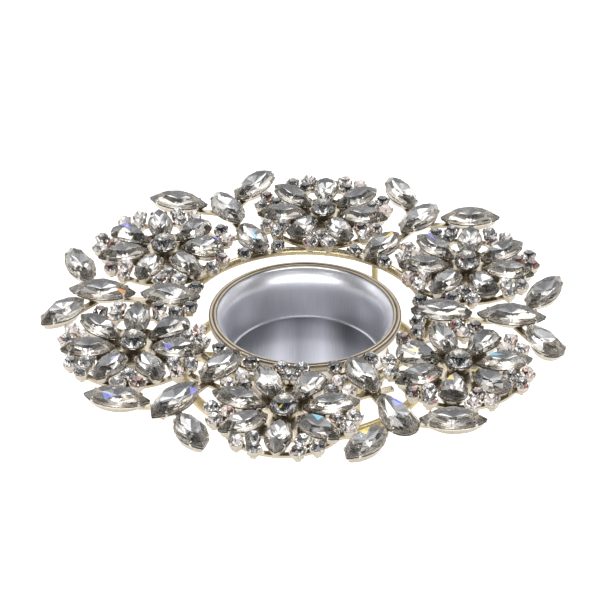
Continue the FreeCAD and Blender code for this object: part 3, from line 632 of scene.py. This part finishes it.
# Silver foil behind the glass, rolled. A mirror that shows the room broken up by the facets,
# each a little lighter or darker than the next.
def silver_foil(tree, dark, pale):
    tone = node(tree, "Attribute", attribute_name="facet_tone")
    shade = node(tree, "ValToRGB", links={"Fac": tone.outputs["Fac"]},
                 stops=((0.05, dark), (0.8, pale)))
    spot = node(tree, "TexCoord").outputs["Object"]
    # Creases in the foil are about 1 mm apart
    creases = node(tree, "TexNoise", {"Scale": 900.0, "Detail": 1.0}, {"Vector": spot})
    bump = node(tree, "Bump", {"Strength": 0.02, "Distance": 0.0002}, {"Height": creases})
    return node(tree, "BsdfPrincipled", {"Metallic": 1.0, "Roughness": 0.06},
                {"Base Color": shade, "Normal": bump})


# Rose and silver foil behind the small stones, rolled. Sparkles in white, grey and a little
# brown and pink, and one facet in five glows white with a painted glint.
def small_foil(tree, dark, pale):
    tone = node(tree, "Attribute", attribute_name="facet_tone")
    shade = node(tree, "ValToRGB", links={"Fac": tone.outputs["Fac"]},
                 stops=((0.0, dark), (0.15, linear("#d9d7d6")), (0.42, linear("#b5877c")),
                        (0.52, linear("#ffffff")), (0.88, linear("#dcb6aa")), (1.0, pale)))
    shade.color_ramp.interpolation = "CONSTANT"
    spot = node(tree, "TexCoord").outputs["Object"]
    # Creases in the foil are about 0.7 mm apart
    creases = node(tree, "TexNoise", {"Scale": 1500.0, "Detail": 1.0}, {"Vector": spot})
    bump = node(tree, "Bump", {"Strength": 0.2, "Distance": 0.0002}, {"Height": creases})
    # One facet in five glows white, a painted glint
    painted_glint = node(tree, "MapRange", {"From Min": 0.79, "From Max": 0.8, "To Min": 0.0,
                                    "To Max": 0.55}, {"Value": tone.outputs["Fac"]})
    return node(tree, "BsdfPrincipled",
                {"Metallic": 0.9, "Roughness": 0.14, "Emission Color": linear("#fff7f2")},
                {"Base Color": shade, "Normal": bump, "Emission Strength": painted_glint})


# Champagne plating on cast alloy, with the slight ripple of casting. Pale and bright on the
# claws, sand gold and duller low down between the stones: painted shade, and the posts' own gold.
def champagne_plating(tree, deep, middle, pale):
    spot = node(tree, "TexCoord").outputs["Object"]
    parts = node(tree, "SeparateXYZ", links={"Vector": spot})
    # Cast ripples are about 1.5 mm apart, and shift the change of colour by up to 4 mm
    ripple = node(tree, "TexNoise", {"Scale": 650.0, "Detail": 3.0}, {"Vector": spot})
    shift = node(tree, "Math", {1: 0.004}, {0: ripple}, operation="MULTIPLY")
    height = node(tree, "Math", links={0: parts.outputs["Z"], 1: shift}, operation="ADD")
    # The painted shade runs from just below the plates up to the claws' tips
    shade_by_height = node(tree, "MapRange", {"From Min": 0.0205, "From Max": 0.0278}, {"Value": height})
    shade = node(tree, "ValToRGB", links={"Fac": shade_by_height},
                 stops=((0.0, deep), (0.4, middle), (1.0, pale)))
    rough = node(tree, "MapRange", {"From Min": 0.3, "From Max": 0.7, "To Min": 0.14,
                                    "To Max": 0.34}, {"Value": ripple})
    bump = node(tree, "Bump", {"Strength": 0.2, "Distance": 0.00015}, {"Height": ripple})
    bright = node(tree, "MapRange", {"From Max": 0.5, "To Min": 0.55, "To Max": 1.0},
                  {"Value": shade_by_height})
    return node(tree, "BsdfPrincipled", links={"Base Color": shade, "Roughness": rough,
                                               "Metallic": bright, "Normal": bump})


# Painted shadow in the seam under the stone's edge. A thin dull dark line.
def painted_seam_shadow(tree, colour):
    spot = node(tree, "TexCoord").outputs["Object"]
    # Mottles in the painted shadow are about 0.4 mm across
    mottle = node(tree, "TexNoise", {"Scale": 2500.0, "Detail": 2.0}, {"Vector": spot})
    shade = node(tree, "ValToRGB", links={"Fac": mottle},
                 stops=((0.3, colour), (0.75, linear("#6b5c45"))))
    return node(tree, "BsdfPrincipled", {"Roughness": 0.55}, {"Base Color": shade})


# Stainless steel wall, spun and brushed upwards. Cool silver grey with faint upright strokes.
def spun_steel(tree, dark, pale):
    spot = node(tree, "TexCoord").outputs["UV"]
    # UV runs once round the cup (about 150 mm) and 1 for 100 mm up. Strokes are 0.08 mm wide,
    # drawn 0.25 mm wide so that they show, and 8 mm long.
    stretch = node(tree, "Mapping", {"Scale": (600.0, 12.0, 1.0)}, {"Vector": spot})
    strokes = node(tree, "TexNoise", {"Scale": 1.0, "Detail": 4.0, "Roughness": 0.6},
                   {"Vector": stretch})
    # Clouds are about 11 mm wide and 25 mm high
    wide = node(tree, "Mapping", {"Scale": (14.0, 4.0, 1.0)}, {"Vector": spot})
    clouds = node(tree, "TexNoise", {"Scale": 1.0, "Detail": 2.0}, {"Vector": wide})
    both = node(tree, "Mix", {0: 0.45}, {2: strokes, 3: clouds})
    shade = node(tree, "ValToRGB", links={"Fac": both}, stops=((0.3, dark), (0.7, pale)))
    bump = node(tree, "Bump", {"Strength": 0.3, "Distance": 0.00004}, {"Height": strokes})
    return node(tree, "BsdfPrincipled", {"Metallic": 0.75, "Roughness": 0.32},
                {"Base Color": shade, "Normal": bump})


# Stainless steel floor, rolled sheet. Straight grain, a few tiny pits, and two broad pale
# bands with darker floor around them, a painted reflection.
def rolled_steel(tree, dark, pale):
    spot = node(tree, "TexCoord").outputs["Object"]
    # Grain lines are 0.1 mm wide, drawn 0.25 mm wide so that they show, and 10 mm long
    stretch = node(tree, "Mapping", {"Scale": (4000.0, 100.0, 1.0)}, {"Vector": spot})
    grain = node(tree, "TexNoise", {"Scale": 1.0, "Detail": 4.0}, {"Vector": stretch})
    # Painted reflection bands across the whole floor, 43.8 mm, with edges that the grain shifts a
    # little
    parts = node(tree, "SeparateXYZ", links={"Vector": spot})
    across = node(tree, "MapRange", {"From Min": -0.0219, "From Max": 0.0219},
                  {"Value": parts.outputs["X"]})
    drift = node(tree, "Math", {1: 0.1, 2: -0.05}, {0: grain}, operation="MULTIPLY_ADD")
    shifted = node(tree, "Math", links={0: across, 1: drift}, operation="ADD")
    painted_bands = node(tree, "ValToRGB", links={"Fac": shifted},
                 stops=((0.14, dark), (0.33, pale), (0.46, linear("#8a8b92")), (0.62, pale),
                        (0.78, dark)))
    # Pits are about 4 mm apart
    pits = node(tree, "TexVoronoi", {"Scale": 260.0}, {"Vector": spot})
    pitted = node(tree, "MapRange", {"From Min": 0.0, "From Max": 0.05, "To Min": 0.35,
                                     "To Max": 1.0}, {"Value": pits})
    speck = node(tree, "Mix", {0: 1.0}, {6: painted_bands, 7: pitted},
                 data_type="RGBA", blend_type="MULTIPLY")
    bump = node(tree, "Bump", {"Strength": 0.2, "Distance": 0.00004}, {"Height": grain})
    return node(tree, "BsdfPrincipled", {"Metallic": 0.65, "Roughness": 0.38},
                {"Base Color": speck.outputs[2], "Normal": bump})


# Champagne lacquer on the rolled rim. Taupe brown with soft highlights along both ridges.
def rim_lacquer(tree, dark, pale):
    spot = node(tree, "TexCoord").outputs["UV"]
    # Turning lines run round the rim, 0.2 mm apart and 5 mm long
    stretch = node(tree, "Mapping", {"Scale": (30.0, 500.0, 1.0)}, {"Vector": spot})
    lines = node(tree, "TexNoise", {"Scale": 1.0, "Detail": 3.0}, {"Vector": stretch})
    shade = node(tree, "ValToRGB", links={"Fac": lines}, stops=((0.3, dark), (0.7, pale)))
    bump = node(tree, "Bump", {"Strength": 0.15, "Distance": 0.00005}, {"Height": lines})
    return node(tree, "BsdfPrincipled", {"Metallic": 1.0, "Roughness": 0.3},
                {"Base Color": shade, "Normal": bump})


# ---------------------------------------------------------------- sizes and colours

def distance(name, about, default):
    """A property for a size in metres, shown in the scene's unit."""
    return FloatProperty(name=name, description=about, default=default, min=0.0, unit="LENGTH",
                         subtype="DISTANCE")


def shade_of(name, about, hex_colour):
    """A property for a colour with an sRGB default."""
    return FloatVectorProperty(name=name, description=about, default=linear(hex_colour)[:3],
                               size=3, min=0.0, max=1.0, subtype="COLOR")


class CandleRingSizes(bpy.types.PropertyGroup):
    """Sizes of stones, claws, rings and cup."""
    table_share: FloatProperty(
        name="Table width", description="Width of a stone's flat table, in percent of the stone",
        default=60.0, min=30.0, max=80.0, subtype="PERCENTAGE")
    claw_breadth: distance("Claw breadth", "Breadth of each claw beside the stone", 0.0008)
    claw_thickness: distance("Claw thickness", "Thickness of each claw", 0.0005)
    base_wire: distance("Base ring wire", "Diameter of the base ring's wire", 0.003)
    upper_wire: distance("Upper ring wire", "Diameter of the upper ring's wire", 0.0026)
    cup_rim: distance("Cup rim", "Outer radius of the cup's rim", 0.02748)
    cup_floor: distance("Cup floor", "Radius of the cup's flat floor", 0.0219)
    shoulder: distance("Cup shoulder", "How far the shoulder below the rim leans in", 0.0026)


class CandleRingColours(bpy.types.PropertyGroup):
    """Colours of glass, foil, plating and steel."""
    glass: shade_of("Glass", "Tint of the lead glass", "#f6f6f5")
    pressed: shade_of("Pressed glass", "Tint of the sloping facets", "#eae5dd")
    foil_dark: shade_of("Foil, dark facets", "Darkest facet of the foil", "#7b7c80")
    foil_pale: shade_of("Foil, pale facets", "Palest facet of the foil", "#fcfbf9")
    # The deep and middle plating colours carry painted shade low down between the stones
    plating_deep: shade_of("Plating, deep", "Plating low down between the stones", "#c3b48c")
    plating_middle: shade_of("Plating, middle", "Plating halfway up the settings", "#aca292")
    plating_pale: shade_of("Plating, pale", "Plating on the claws", "#d6d3ce")
    # The seam colour is painted shadow under each stone's edge
    seam: shade_of("Seam", "Dark line under each stone", "#2a241d")
    wall_dark: shade_of("Cup wall, dark", "Dark strokes of the cup's wall", "#d9dae1")
    wall_pale: shade_of("Cup wall, pale", "Pale strokes of the cup's wall", "#fafafe")
    # The floor's dark and pale colours make the painted reflection on the cup's floor
    floor_painted_dark: shade_of("Cup floor, dark", "Dark bands of the cup's floor", "#76777d")
    floor_painted_pale: shade_of("Cup floor, pale", "Pale bands of the cup's floor", "#b9bac2")
    rim_dark: shade_of("Rim, dark", "Dark turning lines of the rim", "#776e60")
    rim_pale: shade_of("Rim, pale", "Pale turning lines of the rim", "#a79d8c")


# The materials: name, function, and the colours that it takes
FINISHES = {
    "glass": ("Lead glass cut and polished", lead_glass, "glass"),
    "pressed": ("Lead glass as pressed", pressed_glass, "pressed"),
    "foil": ("Silver foil rolled", silver_foil, "foil_dark", "foil_pale"),
    "small_foil": ("Rose and silver foil rolled", small_foil, "foil_dark", "foil_pale"),
    "plating": ("Champagne plating on cast alloy", champagne_plating, "plating_deep",
                "plating_middle", "plating_pale"),
    "seam": ("Painted shadow in the seam", painted_seam_shadow, "seam"),
    "wall": ("Stainless steel spun and brushed", spun_steel, "wall_dark", "wall_pale"),
    "floor": ("Stainless steel rolled", rolled_steel, "floor_painted_dark", "floor_painted_pale"),
    "rim": ("Champagne lacquer turned", rim_lacquer, "rim_dark", "rim_pale"),
}


def look(context, *keys):
    """The sizes, and the materials of those keys with the colours as they are set."""
    colours = context.scene.candle_ring_colours
    return context.scene.candle_ring_sizes, [
        finish(name, build, *[(*getattr(colours, tint), 1.0) for tint in tints])
        for name, build, *tints in (FINISHES[key] for key in keys)]


# ---------------------------------------------------------------- operators

def cut_stones(context, pairs_of, place_of, title, node_name, foil, seed):
    """One piece for each flower or spray with all its stones of one family."""
    sizes, materials = look(context, "glass", foil, "pressed")
    for index in range(FLOWERS):
        stones = joined([stone for stone, _ in pairs_of(sizes, index)])
        new_piece(f"{title}_{index + 1}", moved(stones, place_of(index)), materials, "wreath",
                  [f"{node_name}_{index + 1}"], seed=seed + index)


def form_settings(context, pairs_of, place_of, title, node_name):
    """One piece for each flower or spray with the boats and claws of all its stones."""
    sizes, materials = look(context, "plating", "seam")
    for index in range(FLOWERS):
        settings = joined([setting for _, setting in pairs_of(sizes, index)])
        new_piece(f"{title}_{index + 1}", moved(settings, place_of(index)), materials, "wreath",
                  [f"{node_name}_{index + 1}"])


class CANDLERING_OT_centre_stones(bpy.types.Operator):
    """Cuts the round stone in the middle of each flower"""
    bl_idname = "candlering.centre_stones"
    bl_label = "Centre Stones"

    def execute(self, context):
        cut_stones(context, partial(flower_pairs, "centre"), flower_frame, "flower_heart",
                   "centre_stone", "foil", seed=160)
        return {"FINISHED"}


class CANDLERING_OT_petal_stones(bpy.types.Operator):
    """Cuts the seven petals of each flower"""
    bl_idname = "candlering.petal_stones"
    bl_label = "Petal Stones"

    def execute(self, context):
        cut_stones(context, partial(flower_pairs, "petal"), flower_frame, "petal_cut",
                   "petal_stones", "foil", seed=150)
        return {"FINISHED"}


class CANDLERING_OT_small_stones(bpy.types.Operator):
    """Cuts the small stones between the petals"""
    bl_idname = "candlering.small_stones"
    bl_label = "Small Stones"

    def execute(self, context):
        cut_stones(context, partial(flower_pairs, "small"), flower_frame, "small_cut",
                   "small_stones", "small_foil", seed=150)
        return {"FINISHED"}


class CANDLERING_OT_spray_stones(bpy.types.Operator):
    """Cuts the stones of the sprays between the flowers"""
    bl_idname = "candlering.spray_stones"
    bl_label = "Spray Stones"

    def execute(self, context):
        cut_stones(context, spray_pairs, spray_frame, "spray_cut", "spray_stones", "foil",
                   seed=200)
        return {"FINISHED"}


class CANDLERING_OT_flower_settings(bpy.types.Operator):
    """Forms the boats and claws that hold the stones of each flower"""
    bl_idname = "candlering.flower_settings"
    bl_label = "Flower Settings"

    def execute(self, context):
        form_settings(context, all_flower_pairs, flower_frame, "flower_claws", "flower_settings")
        return {"FINISHED"}


class CANDLERING_OT_spray_settings(bpy.types.Operator):
    """Forms the boats and claws that hold the stones of each spray"""
    bl_idname = "candlering.spray_settings"
    bl_label = "Spray Settings"

    def execute(self, context):
        form_settings(context, spray_pairs, spray_frame, "spray_claws", "spray_settings")
        return {"FINISHED"}


class CANDLERING_OT_rings(bpy.types.Operator):
    """Bends the base ring and the upper ring from round wire"""
    bl_idname = "candlering.rings"
    bl_label = "Rings"

    def execute(self, context):
        sizes, materials = look(context, "plating")
        for name, wire in (("base_ring", sizes.base_wire), ("upper_ring", sizes.upper_wire)):
            # Half of the sum, and from metres to millimetres
            low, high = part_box(name)
            middle = 500 * (low[2] + high[2])
            new_piece(f"{name}_wire", turned_wire(RING_RADIUS, middle, 500 * wire), materials,
                      "wreath", [name], smooth=True)
        return {"FINISHED"}


class CANDLERING_OT_plates(bpy.types.Operator):
    """Plates the posts, the cup's seat, the flowers' back plates and the sprays' bars"""
    bl_idname = "candlering.plates"
    bl_label = "Plates and Posts"

    def execute(self, context):
        _, (plating,) = look(context, "plating")
        kept = ("post_", "cup_seat", "seat_ring", "flower_plate_", "spray_frame_")
        for name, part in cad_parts.items():
            if name.startswith(kept):
                part.data.materials.clear()
                part.data.materials.append(plating)
        return {"FINISHED"}


class CANDLERING_OT_cup(bpy.types.Operator):
    """Spins the cup with its rolled rim"""
    bl_idname = "candlering.cup"
    bl_label = "Cup"

    def execute(self, context):
        sizes, materials = look(context, "wall", "floor", "rim")
        rim, floor, lean = 1000 * sizes.cup_rim, 1000 * sizes.cup_floor, 1000 * sizes.shoulder
        quarter = np.linspace(0, np.pi / 2, 9)
        half = np.linspace(0, np.pi, 11)
        ease = np.linspace(0, 1, 16) ** 1.4
        # The shoulder starts inside the two ridges
        lip = rim - 2.35
        # The cup's section as runs of (radius, height) in millimetres, each with its material:
        # underside, corner, wall, skirt, two half circles as ridges, the shoulder that leans
        # in by lean (1 - (1 - s)^3) over 7.5 mm, low wall, bend and floor
        sections = [
            (0, [(0.4, 3.0), (floor, 3.0)]),
            (0, np.column_stack([floor + 0.8 * np.sin(quarter), 3.8 - 0.8 * np.cos(quarter)])),
            (0, [(floor + 1.5, 8.0), (24.6, 14.0), (25.5, 17.6), (26.1, 17.9)]),
            (2, [(rim - 0.58, 17.8), (rim - 0.28, 17.85), (rim - 0.08, 18.1), (rim, 18.6)]),
            (2, np.column_stack([rim - 0.62 + 0.62 * np.cos(half), 19.42 + 0.58 * np.sin(half)])),
            (2, np.column_stack([rim - 1.76 + 0.52 * np.cos(half), 19.45 + 0.5 * np.sin(half)])),
            (0, np.column_stack([lip - lean * (1 - (1 - ease) ** 3), 19.2 - 7.5 * ease])),
            (0, [(floor + 0.5, 8.0), (floor + 0.42, 4.9)]),
            (0, np.column_stack([floor - 0.1 + 0.5 * np.cos(quarter),
                                 4.2 - 0.5 * np.sin(quarter)])),
            (1, [(18.0, 3.7), (10.0, 3.7), (0.4, 3.7)]),
        ]
        profile = np.vstack([np.asarray(points) for _, points in sections])
        marks = np.concatenate([np.full(len(points), mark) for mark, points in sections])
        angle = np.linspace(0, 2 * np.pi, 192, endpoint=False)
        radius, height = profile[:, :1], profile[:, 1:]
        rings = np.stack(np.broadcast_arrays(radius * np.cos(angle), radius * np.sin(angle),
                                             height), axis=-1)
        # UV is the share of a turn, and the way along the section in units of 100 mm
        run = np.concatenate([[0], np.cumsum(np.hypot(*np.diff(profile, axis=0).T))])
        uv = np.stack(np.broadcast_arrays(angle / (2 * np.pi), run[:, None] / 100), axis=-1)
        new_piece("spun_cup", outward(ring_stack(list(rings), marks=marks[1:])), materials,
                  "cup", ["candle_cup"], smooth=True, uv=uv.reshape(-1, 2))
        return {"FINISHED"}


# The camera of the photograph: focal length in pixels of its square frame, sensor width in
# millimetres, degrees above the table, and in metres its distance and the point it aims at
FOCAL_PIXELS = 2113
FRAME_PIXELS = 600
SENSOR_WIDTH = 36
CAMERA_ELEVATION = 32.85
CAMERA_DISTANCE = 0.6
CAMERA_AIM = (-0.00143, 0.0, 0.02403)
# The round floor's radius in millimetres
FLOOR_RADIUS = 3000.0
# Lights: name, place and sides in metres, and radiance
LIGHTS = (
    ("overhead", (0.0, 0.72, 1.2), (1.9, 0.8), 1.5),
    ("glow_1", (-0.42, 0.5, 1.15), (0.13, 0.11), 6.5),
    ("glow_2", (0.36, 0.62, 1.15), (0.13, 0.11), 6.5),
    ("glow_3", (0.05, 0.95, 1.0), (0.2, 0.1), 6.5),
    ("left", (-1.2, 0.2, 0.8), (0.3, 0.8), 2.2),
    ("right", (1.2, 0.0, 1.0), (0.3, 0.6), 1.8),
    ("front_low", (0.0, -1.4, 0.5), (2.8, 0.48), 5.2),
    ("front_left", (-0.5, -1.0, 0.9), (0.2, 0.2), 1.5),
    ("front_right", (0.8, -0.8, 0.8), (0.2, 0.25), 1.5),
    ("spark_1", (-0.55, -0.75, 0.8), (0.05, 0.05), 35.0),
    ("spark_2", (0.35, -0.9, 1.0), (0.05, 0.05), 35.0),
    ("spark_3", (-0.2, 0.9, 1.0), (0.06, 0.06), 30.0),
    ("spark_4", (0.9, 0.3, 0.9), (0.05, 0.05), 30.0),
)


def studio_world():
    """A room that is dark behind the camera and bright at the back: brightness is a smooth
    step of the direction's Y times a slow noise of the direction."""
    world = bpy.data.worlds.new("Studio")
    world.use_nodes = True
    tree = world.node_tree
    tree.nodes.clear()
    direction = node(tree, "TexCoord").outputs["Generated"]
    parts = node(tree, "SeparateXYZ", links={"Vector": direction})
    depth = node(tree, "MapRange", {"From Min": -0.2, "From Max": 0.8, "To Min": 0.06,
                                    "To Max": 1.45}, {"Value": parts.outputs["Y"]},
                 interpolation_type="SMOOTHSTEP")
    patches = node(tree, "TexNoise", {"Scale": 1.6, "Detail": 1.0}, {"Vector": direction})
    vary = node(tree, "MapRange", {"From Min": 0.35, "From Max": 0.65, "To Min": 0.5,
                                   "To Max": 1.5}, {"Value": patches})
    both = node(tree, "Math", links={0: depth, 1: vary}, operation="MULTIPLY")
    light = node(tree, "Background", {"Color": linear("#f6f7fa")}, {"Strength": both})
    node(tree, "OutputWorld", links={"Surface": light})
    return world


# White studio table, matt laminate over a light box. The light washes it out to white.
def white_table(tree):
    spot = node(tree, "TexCoord").outputs["Object"]
    # Laminate grain is about 2 mm across
    grain = node(tree, "TexNoise", {"Scale": 500.0, "Detail": 2.0}, {"Vector": spot})
    shade = node(tree, "ValToRGB", links={"Fac": grain},
                 stops=((0.3, linear("#f1f1f1")), (0.7, linear("#f6f6f6"))))
    return node(tree, "BsdfPrincipled",
                {"Roughness": 0.9, "Emission Color": linear("#ffffff"),
                 "Emission Strength": 0.75}, {"Base Color": shade})


class CANDLERING_OT_studio(bpy.types.Operator):
    """Lays the floor and sets the lights and the camera"""
    bl_idname = "candlering.studio"
    bl_label = "Studio"

    def execute(self, context):
        scene = context.scene
        scene.view_settings.view_transform = "Standard"
        scene.world = studio_world()
        # The floor is a ring of quads, and a cap of 1 mm radius in its middle
        angle = np.arange(64) * np.pi / 32
        rings = [np.column_stack([r * np.cos(angle), r * np.sin(angle), np.zeros(64)])
                 for r in (FLOOR_RADIUS, 1.0)]
        new_piece("studio_floor", ring_stack(rings, close_start=False),
                           [finish("Laminate matt white", white_table)])
        for name, place, sides, radiance in LIGHTS:
            data = bpy.data.lights.new(name, "AREA")
            data.shape = "RECTANGLE"
            data.size, data.size_y = sides
            # The power of an area light is pi times its radiance times its area
            data.energy = radiance * math.pi * sides[0] * sides[1]
            light = bpy.data.objects.new(name, data)
            light.location = place
            light.rotation_euler = (-Vector(place)).to_track_quat("-Z", "Y").to_euler()
            scene.collection.objects.link(light)
        data = bpy.data.cameras.new("photo_camera")
        data.sensor_width = SENSOR_WIDTH
        data.lens = SENSOR_WIDTH * FOCAL_PIXELS / FRAME_PIXELS
        data.clip_start, data.clip_end = 0.01, 50
        camera = bpy.data.objects.new("photo_camera", data)
        elevation = math.radians(CAMERA_ELEVATION)
        x, y, z = CAMERA_AIM
        camera.location = (x, y - CAMERA_DISTANCE * math.cos(elevation),
                           z + CAMERA_DISTANCE * math.sin(elevation))
        camera.rotation_euler = (math.pi / 2 - elevation, 0, 0)
        scene.collection.objects.link(camera)
        scene.camera = camera
        return {"FINISHED"}


OPERATORS = (
    CANDLERING_OT_centre_stones,
    CANDLERING_OT_petal_stones,
    CANDLERING_OT_small_stones,
    CANDLERING_OT_spray_stones,
    CANDLERING_OT_flower_settings,
    CANDLERING_OT_spray_settings,
    CANDLERING_OT_rings,
    CANDLERING_OT_plates,
    CANDLERING_OT_cup,
    CANDLERING_OT_studio,
)


class CANDLERING_PT_panel(bpy.types.Panel):
    """Lists the sizes, the colours and the steps of the candle ring"""
    bl_idname = "CANDLERING_PT_panel"
    bl_label = "Candle Ring"
    bl_space_type = "VIEW_3D"
    bl_region_type = "UI"
    bl_category = "Candle Ring"

    def draw(self, context):
        for title, group in (("Sizes", context.scene.candle_ring_sizes),
                             ("Colours", context.scene.candle_ring_colours)):
            box = self.layout.box()
            box.label(text=title)
            for name in type(group).__annotations__:
                box.prop(group, name)
        for operator in OPERATORS:
            self.layout.operator(operator.bl_idname)


CLASSES = (CandleRingSizes, CandleRingColours, *OPERATORS, CANDLERING_PT_panel)


def register():
    for item in CLASSES:
        bpy.utils.register_class(item)
    bpy.types.Scene.candle_ring_sizes = PointerProperty(type=CandleRingSizes)
    bpy.types.Scene.candle_ring_colours = PointerProperty(type=CandleRingColours)


def unregister():
    del bpy.types.Scene.candle_ring_colours
    del bpy.types.Scene.candle_ring_sizes
    for item in reversed(CLASSES):
        bpy.utils.unregister_class(item)


def main():
    register()
    for operator in OPERATORS:
        group, name = operator.bl_idname.split(".")
        getattr(getattr(bpy.ops, group), name)()


if __name__ == "__main__":
    main()
